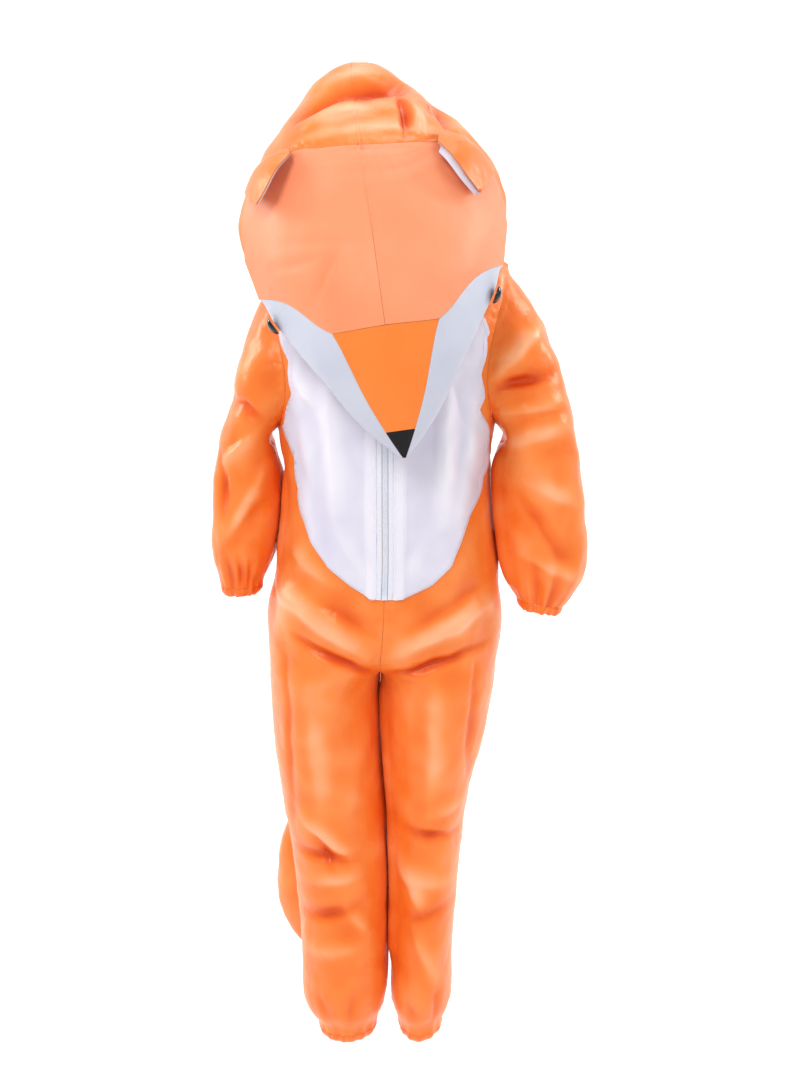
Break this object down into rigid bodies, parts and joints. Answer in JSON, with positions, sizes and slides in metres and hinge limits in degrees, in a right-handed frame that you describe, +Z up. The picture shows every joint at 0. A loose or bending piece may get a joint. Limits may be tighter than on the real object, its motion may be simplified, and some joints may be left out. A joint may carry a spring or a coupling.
{
  "type": "fox costume",
  "caption": "Child's one-piece satin fox suit, worn: zipped front with white tummy, gathered cuffs, tail, and a padded fox-head hood that leans over the face.",
  "frame": {"origin": "midway between the wearer's shoulders, just under the shoulder seams", "axes": "+Z up the wearer's spine, -Y the way the wearer faces, +X to the wearer's left"},
  "size_m": [0.3925, 0.3567, 1.0359],
  "materials": {
    "orange_satin": "satin",
    "padded_satin": "satin over foam",
    "deep_orange_satin": "satin over foam",
    "white_satin": "satin",
    "black_satin": "satin",
    "black_button": "polished",
    "white_nylon": "woven",
    "white_enamelled_zinc": "enamelled"
  },
  "bodies": {
    "suit": {"ankle_cuff_left": "orange_satin", "ankle_cuff_right": "orange_satin", "back_left": "orange_satin", "back_right": "orange_satin", "cheek_left": "white_satin", "cheek_right": "white_satin", "ear_back_left": "orange_satin", "ear_back_right": "orange_satin", "ear_lining_left": "white_satin", "ear_lining_right": "white_satin", "eye_left": "black_button", "eye_right": "black_button", "forehead_left": "padded_satin", "forehead_right": "padded_satin", "front_left": "orange_satin", "front_right": "orange_satin", "hood_left": "orange_satin", "hood_right": "orange_satin", "muzzle": "deep_orange_satin", "nose": "black_satin", "sleeve_left": "orange_satin", "sleeve_right": "orange_satin", "tail": "orange_satin", "tummy_left": "white_satin", "tummy_right": "white_satin", "wrist_cuff_left": "orange_satin", "wrist_cuff_right": "orange_satin", "zip_slider": "white_enamelled_zinc", "zip_tape_left": "white_nylon", "zip_tape_right": "white_nylon", "zip_teeth": "white_nylon"},
    "pull_tab": {"zip_pull_tab": "white_enamelled_zinc"}
  },
  "joints": [
    {"name": "pull_tab_swing", "type": "hinge", "parent": "suit", "child": "pull_tab", "pos_m": [0.0004, -0.0988, -0.0593], "axis": [-1, 0, 0], "range_deg": [0, 150]}
  ]
}
